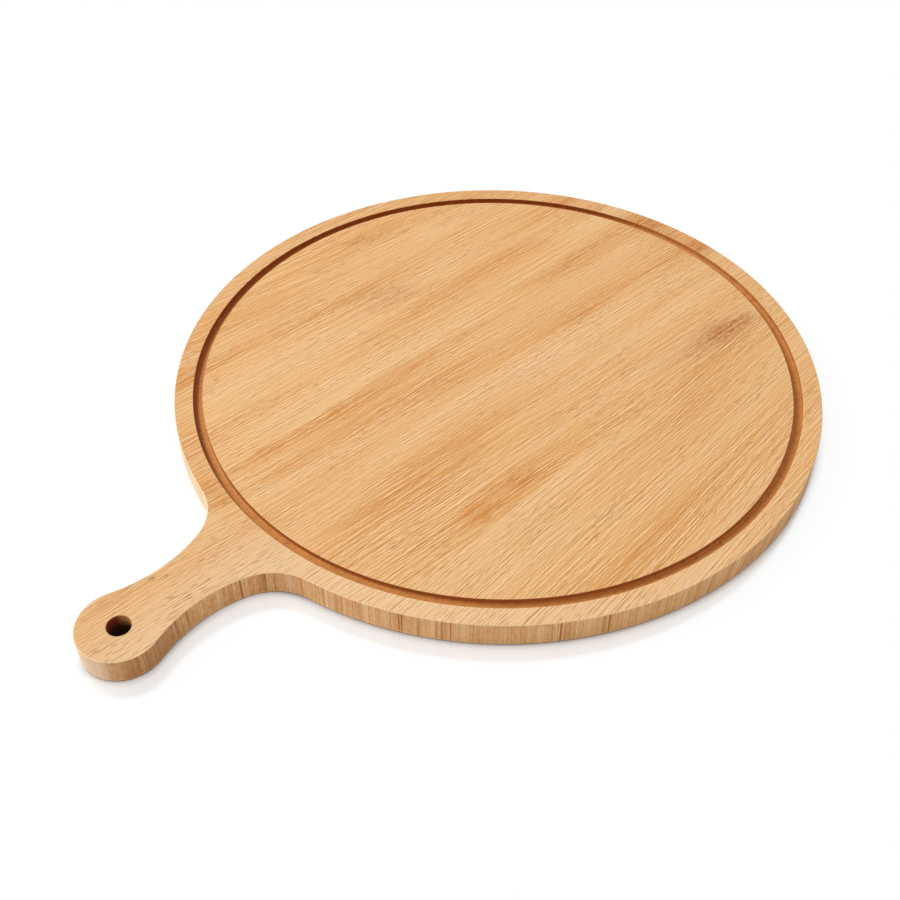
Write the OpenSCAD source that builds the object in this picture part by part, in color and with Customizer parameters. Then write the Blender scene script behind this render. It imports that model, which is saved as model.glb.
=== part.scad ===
// Round serving board with a handle, made of edge-glued wooden staves.
// The middle of the disc's underside is the origin, +Z is up and the handle points along -X.
// Left is +Y: the side on the left of a person who holds the handle.

/* [Disc] */
// Diameter of the round board
disc_d = 350; // [300:5:400]
// Thickness of the board
board_t = 14; // [10:0.5:24]
// Radius of the softened outer edges, top and bottom
edge_soft_r = 0.5; // [0.3:0.1:2.5]

/* [Handle] */
// Distance from the edge of the disc to the middle of the hanging hole
handle_reach = 71.5; // [66:0.5:80]
// Diameter of the round end of the handle
knob_d = 40.5; // [36:0.5:48]
// Width of the neck at its waist
neck_w = 29; // [24:0.5:34]
// Radius of the long hollow curve on each side of the neck
neck_r = 74; // [60:1:90]
// Radius of the fillet between the neck and the disc
shoulder_r = 29.5; // [18:0.5:40]

/* [Hanging hole] */
// Diameter of the hanging hole
hole_d = 11.5; // [6:0.5:16]
// Radius of the softened edges of the hole
hole_soft_r = 0.5; // [0.2:0.1:1.5]

/* [Juice groove] */
// Width of the flat rim outside the groove
rim_w = 10; // [6:0.5:20]
// Width of the groove
groove_w = 4.9; // [3:0.1:8]
// Depth of the groove
groove_depth = 3.2; // [1.5:0.1:5]
// Radius of the round corners at the floor of the groove
groove_floor_r = 1; // [0.3:0.1:1.4]
// Radius of the softened edges of the groove
groove_soft_r = 0.3; // [0.1:0.1:1]

/* [Staves] */
// Distance from the middle line to the left side of the handle stave
handle_stave_left_w = 41; // [26:0.5:60]
// Distance from the middle line to the right side of the handle stave
handle_stave_right_w = 31.5; // [26:0.5:60]
// Width of the first stave to the left of the handle stave
left_inner_w = 37.5; // [20:0.5:60]
// Width of the second stave on the left
left_middle_w = 30; // [20:0.5:60]
// Width of the third stave on the left
left_outer_w = 28.5; // [20:0.5:60]
// Width of the first stave to the right of the handle stave
right_inner_w = 45.5; // [20:0.5:60]
// Width of the second stave on the right
right_middle_w = 31; // [20:0.5:60]
// Width of the third stave on the right
right_outer_w = 32; // [20:0.5:60]

/* [Hidden] */
$fn = 120;
// How far every cut runs past the face that it opens
overrun = 1;
// Sides of the full circle that a softened edge or a floor corner follows, so each has three flats
corner_sides = 12;
// Step to which a place is rounded before its small rest is added
coarse_step = 0.001;

// The handle's outline: round end, hollow neck and shoulder fillet, each tangent to the next
disc_r = disc_d / 2;
knob_r = knob_d / 2;
knob_x = -(disc_r + handle_reach);
neck_centre_y = neck_w / 2 + neck_r;
neck_centre_x = knob_x + sqrt(pow(knob_r + neck_r, 2) - pow(neck_centre_y, 2));
neck_centre = [neck_centre_x, neck_centre_y];

// The fillet's centre lies at a known distance from the disc's centre and from the neck curve's
from_disc = disc_r + shoulder_r;
from_neck = neck_r - shoulder_r;
neck_away = norm(neck_centre);
toward_neck = neck_centre / neck_away;
shoulder_along = (pow(from_disc, 2) + pow(neck_away, 2) - pow(from_neck, 2)) / (2 * neck_away);
shoulder_aside = sqrt(pow(from_disc, 2) - pow(shoulder_along, 2));
shoulder_centre = toward_neck * shoulder_along
                + [-toward_neck[1], toward_neck[0]] * shoulder_aside;
// The neck curve passes into the fillet on the line through both centres, which meets the
// middle line of the handle here
neck_to_shoulder = (shoulder_centre - neck_centre) / from_neck;
blend_x = neck_centre[0] - neck_centre[1] * neck_to_shoulder[0] / neck_to_shoulder[1];

// The groove runs round the disc inside the rim
groove_outer_r = disc_r - rim_w;
groove_inner_r = groove_outer_r - groove_w;
groove_floor_z = board_t - groove_depth;

// The glue lines, counted outwards from the handle stave
left_line_1 = handle_stave_left_w;
left_line_2 = left_line_1 + left_inner_w;
left_line_3 = left_line_2 + left_middle_w;
left_line_4 = left_line_3 + left_outer_w;
right_line_1 = -handle_stave_right_w;
right_line_2 = right_line_1 - right_inner_w;
right_line_3 = right_line_2 - right_middle_w;
right_line_4 = right_line_3 - right_outer_w;

// Waste outside a rounded corner whose two faces meet at the origin, material at -X and -Y
module corner_waste(soft) {
    difference() {
        translate([-soft, -soft]) square(soft + overrun);
        translate([-soft, -soft]) circle(soft, $fn = corner_sides);
    }
}

// Half section of a round plate with softened edges
module plate_section(r) {
    difference() {
        square([r, board_t]);
        translate([r, board_t]) corner_waste(edge_soft_r);
        translate([r, 0]) mirror([0, 1]) corner_waste(edge_soft_r);
    }
}

// Half section of a cutter for a round hollow through the board, flared to soften both edges
module hollow_section(r, soft) {
    translate([0, -overrun]) square([r, board_t + 2 * overrun]);
    translate([r, board_t]) mirror([1, 0]) corner_waste(soft);
    translate([r, 0]) mirror([1, 0]) mirror([0, 1]) corner_waste(soft);
}

// Section of the juice groove, with a round-cornered floor and softened edges
module groove_section() {
    wall_h = groove_depth - groove_floor_r + overrun;
    translate([groove_inner_r, groove_floor_z + groove_floor_r]) square([groove_w, wall_h]);
    translate([groove_inner_r + groove_floor_r, groove_floor_z])
        square([groove_w - 2 * groove_floor_r, groove_depth]);
    for (x = [groove_inner_r + groove_floor_r, groove_outer_r - groove_floor_r])
        translate([x, groove_floor_z + groove_floor_r])
            circle(groove_floor_r, $fn = corner_sides);
    translate([groove_inner_r, board_t]) corner_waste(groove_soft_r);
    translate([groove_outer_r, board_t]) mirror([1, 0]) corner_waste(groove_soft_r);
}

function mirrored(p) = [p[0], -p[1]];

// A block over a plan that is given along one side, between two points on the middle line
module block(half_plan) {
    other_half = [for (i = [len(half_plan) - 2:-1:1]) mirrored(half_plan[i])];
    linear_extrude(board_t) polygon(concat(half_plan, other_half));
}

// The wedge that a round plate leaves free for the piece of outline that goes on from it
module wedge(from_x, corner) {
    translate([0, 0, -overrun]) linear_extrude(board_t + 2 * overrun)
        polygon([[from_x, 0], corner, mirrored(corner)]);
}

// Moves its children to a place, first to the nearest coarse step and then by the small rest.
// Each move keeps six digits, so the two together put tangent curves exactly where they meet.
module exactly_at(place) {
    coarse = [for (value = place) round(value / coarse_step) * coarse_step];
    translate(coarse) translate(place - coarse) children();
}

// A round hollow with softened edges on each side of the handle
module hollows(centre, r) {
    for (place = [centre, mirrored(centre)])
        exactly_at(place) rotate_extrude() hollow_section(r, edge_soft_r);
}

module disc() {
    difference() {
        rotate_extrude() plate_section(disc_r);
        wedge(0, shoulder_centre);
    }
}

module knob() {
    difference() {
        translate([knob_x, 0]) rotate_extrude() plate_section(knob_r);
        wedge(knob_x, neck_centre);
    }
}

module neck() {
    difference() {
        block([[knob_x, 0], neck_centre, shoulder_centre, [blend_x, 0]]);
        hollows(neck_centre, neck_r);
    }
}

module shoulders() {
    difference() {
        block([[blend_x, 0], shoulder_centre, [0, 0]]);
        hollows(shoulder_centre, shoulder_r);
    }
}

// The whole board, before the glue lines part it. Its outline is a chain of arcs, and each
// piece ends on a line through the centres of two arcs, where both have the same section.
module board() {
    difference() {
        union() {
            disc();
            shoulders();
            neck();
            knob();
        }
        rotate_extrude() groove_section();
        translate([knob_x, 0]) rotate_extrude() hollow_section(hole_d / 2, hole_soft_r);
    }
}

// One stave: the board between two glue lines
module stave(low_y, high_y) {
    reach = handle_reach + knob_d + disc_d;
    intersection() {
        board();
        translate([-reach, low_y, -overrun])
            cube([2 * reach, high_y - low_y, board_t + 2 * overrun]);
    }
}

module handle_stave() {
    color([0.89, 0.70, 0.48]) stave(right_line_1, left_line_1);
}

module left_inner_stave() {
    color([0.91, 0.73, 0.52]) stave(left_line_1, left_line_2);
}

module left_middle_stave() {
    color([0.88, 0.68, 0.46]) stave(left_line_2, left_line_3);
}

module left_outer_stave() {
    color([0.90, 0.71, 0.50]) stave(left_line_3, left_line_4);
}

module left_edge_stave() {
    color([0.87, 0.67, 0.45]) stave(left_line_4, disc_r + overrun);
}

module right_inner_stave() {
    color([0.87, 0.67, 0.45]) stave(right_line_2, right_line_1);
}

module right_middle_stave() {
    color([0.91, 0.73, 0.52]) stave(right_line_3, right_line_2);
}

module right_outer_stave() {
    color([0.88, 0.69, 0.47]) stave(right_line_4, right_line_3);
}

module right_edge_stave() {
    color([0.90, 0.71, 0.50]) stave(-disc_r - overrun, right_line_4);
}

handle_stave();
left_inner_stave();
left_middle_stave();
left_outer_stave();
left_edge_stave();
right_inner_stave();
right_middle_stave();
right_outer_stave();
right_edge_stave();
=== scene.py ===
# %% [markdown]
# # A round serving board with a handle
# The board is glued up from nine staves of wood, sawn to a round outline with a handle, and
# given a juice groove and a hanging hole. The CAD model already holds the nine staves at their
# true sizes. This script rebuilds each one with finer edges, gives the wood its grain, figure
# and browned groove, and sets it on a white floor under soft light.
# The first cell loads the CAD model, which stays where it is and carries every new piece.

import math

import bpy
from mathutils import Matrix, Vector


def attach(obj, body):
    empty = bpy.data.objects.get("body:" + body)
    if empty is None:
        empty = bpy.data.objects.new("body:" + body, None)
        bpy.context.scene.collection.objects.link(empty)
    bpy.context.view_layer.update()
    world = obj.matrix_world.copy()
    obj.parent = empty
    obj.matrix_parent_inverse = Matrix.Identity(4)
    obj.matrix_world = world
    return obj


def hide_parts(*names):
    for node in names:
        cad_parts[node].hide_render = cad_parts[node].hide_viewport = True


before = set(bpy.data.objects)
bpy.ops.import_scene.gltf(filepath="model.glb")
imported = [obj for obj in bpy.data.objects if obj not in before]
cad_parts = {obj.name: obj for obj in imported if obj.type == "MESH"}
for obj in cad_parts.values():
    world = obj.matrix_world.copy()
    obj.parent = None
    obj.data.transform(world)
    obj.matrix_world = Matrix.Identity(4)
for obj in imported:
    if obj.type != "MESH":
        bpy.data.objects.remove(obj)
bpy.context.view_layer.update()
print("CAD nodes:", len(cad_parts))

# %% [markdown]
# ## Sizes
# All lengths are metres and are the same as in the CAD model. The origin is the middle of the
# disc's underside, +Z is up, and the handle points along -X. The outline is a chain of arcs,
# so a few radii say everything about it.

# %% The board's sizes
MM = 0.001
DISC_R = 175 * MM
BOARD_T = 14 * MM
EDGE_SOFT = 0.5 * MM
HANDLE_REACH = 71.5 * MM
KNOB_R = 20.25 * MM
KNOB_X = -DISC_R - HANDLE_REACH
NECK_W = 29 * MM
NECK_R = 74 * MM
SHOULDER_R = 29.5 * MM
HOLE_R = 5.75 * MM
HOLE_SOFT = 0.5 * MM
RIM_W = 10 * MM
GROOVE_W = 4.9 * MM
GROOVE_DEPTH = 3.2 * MM
GROOVE_FLOOR_R = 1 * MM
GROOVE_SOFT = 0.3 * MM
GROOVE_MID_R = DISC_R - RIM_W - GROOVE_W / 2

# Each stave: node, low and high glue line in millimetres, wood, tone, grain shift, grain slope
STAVES = [
    ("right_edge_stave", -176, -140, "honey_wood", -0.05, 7.1, 0.085),
    ("right_outer_stave", -140, -108, "warm_wood", 0.20, 3.3, 0.05),
    ("right_middle_stave", -108, -77, "pale_wood", 0.10, 5.9, 0.02),
    ("right_inner_stave", -77, -31.5, "warm_wood", 0.15, 1.7, -0.06),
    ("handle_stave", -31.5, 41, "honey_wood", 0.05, 0.0, -0.06),
    ("left_inner_stave", 41, 78.5, "pale_wood", 0.0, 4.2, -0.055),
    ("left_middle_stave", 78.5, 108.5, "warm_wood", -0.20, 8.4, -0.065),
    ("left_outer_stave", 108.5, 137, "honey_wood", -0.10, 2.6, -0.085),
    ("left_edge_stave", 137, 176, "warm_wood", -0.25, 6.5, -0.10),
]
print("Staves:", len(STAVES))

# %% [markdown]
# ## Outline
# A router follows a template round the board. The template is a chain of arcs that meet
# without a corner: disc, hollow shoulder, hollow neck, round knob, and the same back again.
# Two arcs are tangent where the line through their centres crosses them, so the script finds
# the centres first and walks along each arc in small equal steps.

# %% Points along an arc
# The longest step along an arc, and the most that it may turn in one step
ARC_STEP = 1.5 * MM
ARC_TURN = math.radians(3)


def arc(centre, radius, start, end):
    """Points on an arc from one angle to another, the last one left out."""
    turn = min(ARC_STEP / radius, ARC_TURN)
    count = max(2, math.ceil(abs(end - start) / turn))
    turns = [start + (end - start) * i / count for i in range(count)]
    return [(centre[0] + radius * math.cos(t), centre[1] + radius * math.sin(t)) for t in turns]


# %% Points along the outline


def outline_points():
    """The board's outline from the far end, counter-clockwise as seen from above."""
    neck = Vector((0, NECK_W / 2 + NECK_R))
    neck.x = KNOB_X + math.sqrt((KNOB_R + NECK_R) ** 2 - neck.y ** 2)
    from_disc = DISC_R + SHOULDER_R
    from_neck = NECK_R - SHOULDER_R
    away = neck.length
    along = (from_disc ** 2 + away ** 2 - from_neck ** 2) / (2 * away)
    aside = math.sqrt(from_disc ** 2 - along ** 2)
    toward = neck / away
    shoulder = toward * along + Vector((-toward.y, toward.x)) * aside
    disc_end = math.atan2(shoulder.y, shoulder.x)
    blend = math.atan2(shoulder.y - neck.y, shoulder.x - neck.x)
    knob_start = math.atan2(neck.y, neck.x - KNOB_X)
    half = arc((0, 0), DISC_R, 0, disc_end)
    half += arc(shoulder, SHOULDER_R, disc_end - math.pi, blend)
    half += arc(neck, NECK_R, blend, knob_start - math.pi)
    half += arc((KNOB_X, 0), KNOB_R, knob_start, math.pi)
    tip = [(KNOB_X - KNOB_R, 0.0)]
    return half + tip + [(x, -y) for x, y in reversed(half[1:])]


outline = outline_points()
print("Outline:", len(outline), "points, length", round(outline[0][0] - (KNOB_X - KNOB_R), 4))

# %% [markdown]
# ## Sections
# The edge, the groove and the hole are each one small drawing, a section, that is carried
# along a path. In a section, X points outwards from the path and the second number is the
# height. A quarter circle of a few points softens each corner. A second point close behind each
# quarter keeps the shading of the straight wall between them level.

# %% Section curves


def line_object(name, points, closed):
    """A curve object of straight pieces, kept out of the scene."""
    curve = bpy.data.curves.new(name, "CURVE")
    curve.dimensions = "3D"
    spline = curve.splines.new("POLY")
    spline.points.add(len(points) - 1)
    for point, (x, y) in zip(spline.points, points):
        point.co = (x, y, 0, 1)
    spline.use_cyclic_u = closed
    return bpy.data.objects.new(name, curve)


def section(name, points, closed=False):
    """A section drawn as (outwards, height); a swept curve turns height the other way up."""
    print("Section:", name, len(points), "points")
    return line_object(name, [(x, -z) for x, z in points], closed)


QUARTER_STEPS = 5


def quarter(x, z, radius, start):
    """Points of a quarter circle about (x, z), clockwise where the radius is negative."""
    turn = math.copysign(math.radians(90), radius)
    angles = [math.radians(start) + turn * i / QUARTER_STEPS for i in range(QUARTER_STEPS + 1)]
    return [(x + abs(radius) * math.cos(a), z + abs(radius) * math.sin(a)) for a in angles]


# %% The edge, the groove and the hole
# How far a cutter runs past the board's faces, and how close behind a quarter its second
# point lies
OVER = 1 * MM
HOLD = 0.2 * MM

edge_top = BOARD_T - EDGE_SOFT
edge_line = section(
    "edge_line",
    quarter(-EDGE_SOFT, edge_top, -EDGE_SOFT, 90)
    + [(0, edge_top - HOLD), (0, EDGE_SOFT + HOLD)]
    + quarter(-EDGE_SOFT, EDGE_SOFT, -EDGE_SOFT, 0),
)

half_w = GROOVE_W / 2
floor_z = BOARD_T - GROOVE_DEPTH
mouth_z = BOARD_T - GROOVE_SOFT
corner_z = floor_z + GROOVE_FLOOR_R
floor_w = half_w - GROOVE_FLOOR_R
groove_line = section(
    "groove_line",
    [(-half_w - GROOVE_SOFT, BOARD_T + OVER), (half_w + GROOVE_SOFT, BOARD_T + OVER)]
    + quarter(half_w + GROOVE_SOFT, mouth_z, GROOVE_SOFT, 90)
    + [(half_w, mouth_z - HOLD), (half_w, corner_z + HOLD)]
    + quarter(floor_w, corner_z, -GROOVE_FLOOR_R, 0)
    + [(floor_w - HOLD, floor_z), (HOLD - floor_w, floor_z)]
    + quarter(-floor_w, corner_z, -GROOVE_FLOOR_R, -90)
    + [(-half_w, corner_z + HOLD), (-half_w, mouth_z - HOLD)]
    + quarter(-half_w - GROOVE_SOFT, mouth_z, GROOVE_SOFT, 0),
    closed=True,
)

hole_top = BOARD_T - HOLE_SOFT
hole_line = section(
    "hole_line",
    [(-HOLE_R, BOARD_T + OVER), (HOLE_SOFT, BOARD_T + OVER)]
    + quarter(HOLE_SOFT, hole_top, HOLE_SOFT, 90)
    + [(0, hole_top - HOLD), (0, HOLE_SOFT + HOLD)]
    + quarter(HOLE_SOFT, HOLE_SOFT, HOLE_SOFT, 180)
    + [(HOLE_SOFT, -OVER), (-HOLE_R, -OVER)],
)

# %% [markdown]
# ## Node trees by script
# A small helper keeps the trees readable: it adds a node, sets its options and links its
# inputs in one call. An input may be a plain value or another node's output. The steps that
# every tree needs, such as a sum, a ramp or a vector's three numbers, get a short name each.

# %% Tree helper


class Tree:
    """A node tree that is built line by line."""

    def __init__(self, nodes_tree):
        self.tree = nodes_tree
        self.inside = None
        self.result = None

    def add(self, kind, options=None, **inputs):
        """Adds a node. Inputs are given by name, or as _0, _1 by place."""
        node = self.tree.nodes.new(kind)
        for name, value in (options or {}).items():
            setattr(node, name, value)
        for name, value in inputs.items():
            if name[0] == "_":
                socket = node.inputs[int(name[1:])]
            else:
                socket = node.inputs[name.replace("_", " ")]
            self.put(socket, value)
        return node

    def put(self, socket, value):
        """Links an output to a socket, or sets the socket's own value."""
        if isinstance(value, bpy.types.NodeSocket):
            self.tree.links.new(value, socket)
        elif value is not None:
            socket.default_value = value

    def math(self, operation, a, b=0.0, c=0.0):
        """One arithmetic step."""
        kind = "ShaderNodeMath"
        return self.add(kind, {"operation": operation}, _0=a, _1=b, _2=c).outputs[0]

    def product(self, first, *others):
        """Several numbers multiplied."""
        for other in others:
            first = self.math("MULTIPLY", first, other)
        return first

    def vector(self, operation, a, b=(0, 0, 0)):
        """One step with vectors; a dot product or a length gives a number."""
        kind = "ShaderNodeVectorMath"
        node = self.add(kind, {"operation": operation}, _0=a, _1=b)
        return node.outputs["Value" if operation in ("DOT_PRODUCT", "LENGTH") else "Vector"]

    def split(self, vector):
        """The three numbers of a vector, by the names X, Y and Z."""
        return self.add("ShaderNodeSeparateXYZ", _0=vector).outputs

    def join(self, **axes):
        """A vector from its numbers; an axis that isn't named is zero."""
        return self.add("ShaderNodeCombineXYZ", **axes).outputs[0]

    def ramp(self, value, low, high, to_low=0.0, to_high=1.0, smooth=True):
        """Maps a number from one range to another and holds it at the ends."""
        kind = "ShaderNodeMapRange"
        shape = {"interpolation_type": "SMOOTHSTEP" if smooth else "LINEAR"}
        return self.add(kind, shape, _0=value, _1=low, _2=high, _3=to_low, _4=to_high).outputs[0]


def new_group(name, kind, inputs, outputs):
    """A node group with named sockets. Each socket is (name, type, default)."""
    tree = bpy.data.node_groups.new(name, kind)
    for side, sockets in (("INPUT", inputs), ("OUTPUT", outputs)):
        for label, sort, *rest in sockets:
            socket = tree.interface.new_socket(
                label, in_out=side, socket_type="NodeSocket" + sort
            )
            if rest:
                socket.default_value = rest[0]
    group = Tree(tree)
    group.inside = tree.nodes.new("NodeGroupInput").outputs
    group.result = tree.nodes.new("NodeGroupOutput").inputs
    return group


# %% [markdown]
# ## A stave
# Every stave is the same board between two other glue lines, so one Geometry Nodes tree makes
# all nine. It sweeps the edge section along the outline and closes it above and below, takes
# out the groove and the hole, and keeps what lies between the two glue lines. It also writes
# what the finishes need: how far along the outline each point of the wall lies, and where the
# rim, the groove and the hole are. Doing this in nodes means that a new radius or a new glue
# line changes one number.

# %% The stave tree and its inputs
stave_tree = new_group(
    "stave",
    "GeometryNodeTree",
    [
        ("Outline", "Geometry"),
        ("Edge section", "Object"),
        ("Edge softening", "Float"),
        ("Thickness", "Float"),
        ("Groove radius", "Float"),
        ("Groove depth", "Float"),
        ("Groove section", "Object"),
        ("Hole radius", "Float"),
        ("Hole softening", "Float"),
        ("Hole place", "Vector"),
        ("Hole section", "Object"),
        ("Low glue line", "Float"),
        ("High glue line", "Float"),
        ("Tone", "Float"),
        ("Grain shift", "Float"),
        ("Grain slope", "Float"),
        ("Finish", "Material"),
    ],
    [("Stave", "Geometry")],
)
g = stave_tree
size = g.inside
place = g.add("GeometryNodeInputPosition").outputs[0]
spot = g.split(place)
print("Inputs of the stave tree:", len(size) - 1)

# %% Helpers for shapes
# Points closer than this are one point
MERGE = 0.01 * MM


def swept(path, section_socket):
    """A section carried along a path, as a mesh."""
    drawn = g.add("GeometryNodeObjectInfo", _0=section_socket).outputs["Geometry"]
    return g.add("GeometryNodeCurveToMesh", Curve=path, Profile_Curve=drawn).outputs[0]


def ring(radius, sides):
    """A circle about the origin."""
    kind = "GeometryNodeCurvePrimitiveCircle"
    node = g.add(kind, {"mode": "RADIUS"}, Resolution=sides)
    g.put(node.inputs["Radius"], radius)
    return node.outputs["Curve"]


def merged(shape):
    """A shape whose touching points are one."""
    return g.add("GeometryNodeMergeByDistance", Geometry=shape, Distance=MERGE).outputs[0]


def moved(shape, to):
    """A shape carried to a place."""
    return g.add("GeometryNodeTransform", Geometry=shape, Translation=to).outputs[0]


def cut(operation, first, second):
    """What two closed shapes leave or share. Only a difference tells the two apart."""
    node = g.add("GeometryNodeMeshBoolean", {"operation": operation, "solver": "MANIFOLD"})
    g.put(node.inputs["Mesh 1" if operation == "DIFFERENCE" else "Mesh 2"], first)
    g.put(node.inputs["Mesh 2"], second)
    return node.outputs["Mesh"]


# %% The plate
# A wall that is open above and below, and the two flat faces that close it
wall = swept(size["Outline"], size["Edge section"])
faces_beside = g.add("GeometryNodeInputMeshEdgeNeighbors").outputs[0]
open_edge = g.math("COMPARE", faces_beside, 1, 0.1)
in_upper_half = g.math("GREATER_THAN", spot["Z"], g.math("MULTIPLY", size["Thickness"], 0.5))
in_lower_half = g.math("SUBTRACT", 1, in_upper_half)


def flat_face(half):
    """The face that fills the wall's open edge in one half of its height, at no height."""
    chosen = g.math("MULTIPLY", open_edge, half)
    loop = g.add("GeometryNodeMeshToCurve", Mesh=wall, Selection=chosen).outputs[0]
    return g.add("GeometryNodeFillCurve", {"mode": "NGONS"}, Curve=loop).outputs[0]


top_face = moved(flat_face(in_upper_half), g.join(Z=size["Thickness"]))
under_face = g.add("GeometryNodeFlipFaces", Mesh=flat_face(in_lower_half)).outputs[0]
parts = g.add("GeometryNodeJoinGeometry")
for part in (wall, top_face, under_face):
    g.put(parts.inputs[0], part)
plate = merged(parts.outputs[0])
print("Stave tree with the plate:", len(g.tree.nodes), "nodes")

# %% The cuts, and the strip between the two glue lines
GROOVE_SIDES = 512
HOLE_SIDES = 96
# The strip only has to be longer and higher than the board
STRIP_LENGTH = 1000 * MM
STRIP_HEIGHT = 100 * MM

groove = swept(ring(size["Groove radius"], GROOVE_SIDES), size["Groove section"])
hole = merged(swept(ring(size["Hole radius"], HOLE_SIDES), size["Hole section"]))
hole = moved(hole, size["Hole place"])
whole = cut("DIFFERENCE", cut("DIFFERENCE", plate, groove), hole)
whole = g.add("GeometryNodeSetShadeSmooth", Geometry=whole, Shade_Smooth=True).outputs[0]

strip_w = g.math("SUBTRACT", size["High glue line"], size["Low glue line"])
strip_y = g.math("MULTIPLY_ADD", strip_w, 0.5, size["Low glue line"])
strip_size = g.join(X=STRIP_LENGTH, Y=strip_w, Z=STRIP_HEIGHT)
strip = moved(g.add("GeometryNodeMeshCube", Size=strip_size).outputs[0], g.join(Y=strip_y))
stave = cut("INTERSECT", whole, strip)
print("Stave tree with the cuts:", len(g.tree.nodes), "nodes")

# %% [markdown]
# ## Marks for the finishes
# The wall of the board shows stripes that stand side by side along the outline. Their pattern
# needs a coordinate that runs round the outline, so each corner of each face gets its distance
# from the start, measured from the nearest outline point. The nearest point is looked up once
# for a face, so the coordinate never jumps inside one. Three soft masks say where the rim, the
# groove and the hole are.

# %% Helpers that store and look up values


def stored(shape, name, value, sort="FLOAT", domain="POINT"):
    """A shape with one more named attribute."""
    options = {"data_type": sort, "domain": domain}
    kind = "GeometryNodeStoreNamedAttribute"
    return g.add(kind, options, Geometry=shape, Name=name, Value=value).outputs[0]


def named(name, sort="FLOAT"):
    """An attribute that is stored under a name."""
    kind = "GeometryNodeInputNamedAttribute"
    return g.add(kind, {"data_type": sort}, Name=name).outputs[0]


def looked_up(shape, value, index, sort="FLOAT"):
    """What a value is at one point of a shape."""
    node = g.add("GeometryNodeSampleIndex", {"data_type": sort, "domain": "POINT"})
    g.put(node.inputs["Geometry"], shape)
    g.put(node.inputs["Value"], value)
    g.put(node.inputs["Index"], index)
    return node.outputs[0]


def one_per_face(value, sort):
    """A value that is the same all over a face."""
    kind = "GeometryNodeFieldOnDomain"
    return g.add(kind, {"data_type": sort, "domain": "FACE"}, _0=value).outputs[0]


# %% The distance along the outline
flat_place = g.vector("MULTIPLY", place, (1, 1, 0))
length_so_far = g.add("GeometryNodeSplineParameter").outputs["Length"]
direction = g.add("GeometryNodeInputTangent").outputs[0]
marked = stored(size["Outline"], "way", length_so_far)
marked = stored(marked, "heading", direction, "FLOAT_VECTOR")
line = g.add("GeometryNodeCurveToMesh", Curve=marked).outputs[0]

kind = "GeometryNodeSampleNearest"
nearest = g.add(kind, Geometry=line, Sample_Position=flat_place).outputs[0]
nearest = one_per_face(nearest, "INT")
nearest_place = looked_up(line, place, nearest, "FLOAT_VECTOR")
heading = looked_up(line, named("heading", "FLOAT_VECTOR"), nearest, "FLOAT_VECTOR")
rest = g.vector("DOT_PRODUCT", g.vector("SUBTRACT", flat_place, nearest_place), heading)
way = g.math("ADD", looked_up(line, named("way"), nearest), rest)
print("Stave tree with the distance:", len(g.tree.nodes), "nodes")

# %% Masks for the rim, the groove and the hole
# The hole's mask ends this far outside its wall, and the groove's this far above the underside
TOUCH = 0.1 * MM
# The groove's mask begins a tenth further in than the softened edges of the rim and the hole
CLEAR = 1.1

to_outline = g.add("GeometryNodeProximity", {"target_element": "EDGES"}, _0=line)
g.put(to_outline.inputs["Sample Position"], flat_place)
inward = to_outline.outputs["Distance"]
on_rim = g.ramp(inward, 0, size["Edge softening"], 1, 0, smooth=False)

from_hole = g.vector("LENGTH", g.vector("SUBTRACT", flat_place, size["Hole place"]))
hole_wall = g.math("ADD", size["Hole radius"], TOUCH)
in_hole = g.ramp(from_hole, size["Hole radius"], hole_wall, 1, 0, smooth=False)

depth = g.math("SUBTRACT", size["Thickness"], spot["Z"])
depth_share = g.ramp(depth, 0, size["Groove depth"], smooth=False)
rim_reach = g.math("MULTIPLY", size["Edge softening"], CLEAR)
hole_reach = g.math("ADD", size["Hole radius"], size["Hole softening"])
hole_reach = g.math("MULTIPLY", hole_reach, CLEAR)
in_groove = g.product(
    depth_share,
    g.math("GREATER_THAN", inward, rim_reach),
    g.math("GREATER_THAN", spot["Z"], TOUCH),
    g.math("GREATER_THAN", from_hole, hole_reach),
)

stave = stored(stave, "rim_way", way, domain="CORNER")
POINT_MARKS = {
    "on_rim": on_rim,
    "in_groove": in_groove,
    "in_hole": in_hole,
    "stave_tone": size["Tone"],
    "grain_shift": size["Grain shift"],
    "grain_slope": size["Grain slope"],
}
for name, value in POINT_MARKS.items():
    stave = stored(stave, name, value)
print("Marks:", ["rim_way", *POINT_MARKS])

# %% Shading across the glue lines, and the end of the tree
# Round faces borrow their shading from the uncut board, so a glue line leaves no tick on them.
# A face whose normal rises more than this is level, and keeps its own shading
LEVEL = 0.9999

normal = g.add("GeometryNodeInputNormal").outputs
is_flat = g.math("GREATER_THAN", g.math("ABSOLUTE", g.split(normal["Normal"])["Z"]), LEVEL)
for glue_line in ("Low glue line", "High glue line"):
    on_line = g.math("COMPARE", spot["Y"], size[glue_line], MERGE)
    is_flat = g.math("MAXIMUM", is_flat, on_line)
is_round = one_per_face(g.math("SUBTRACT", 1, is_flat), "FLOAT")
kind = "GeometryNodeSampleNearestSurface"
borrowed = g.add(kind, {"data_type": "FLOAT_VECTOR"}, Mesh=whole)
g.put(borrowed.inputs["Value"], normal["Normal"])
g.put(borrowed.inputs["Sample Position"], place)
shading = g.add("ShaderNodeMix", {"data_type": "VECTOR"}, _0=is_round)
g.put(shading.inputs[4], normal["True Normal"])
g.put(shading.inputs[5], borrowed.outputs["Value"])
stave = g.add("GeometryNodeSetShadeSmooth", Geometry=stave, Shade_Smooth=is_round).outputs[0]
shaded = g.add("GeometryNodeSetMeshNormal", {"mode": "FREE", "domain": "CORNER"}, Mesh=stave)
g.put(shaded.inputs["Custom Normal"], shading.outputs[1])
stave = g.add("GeometryNodeRealizeInstances", Geometry=shaded.outputs[0]).outputs[0]
stave = g.add("GeometryNodeSetMaterial", Geometry=stave, Material=size["Finish"]).outputs[0]
g.put(g.result["Stave"], stave)
print("Stave tree:", len(g.tree.nodes), "nodes")

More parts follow.
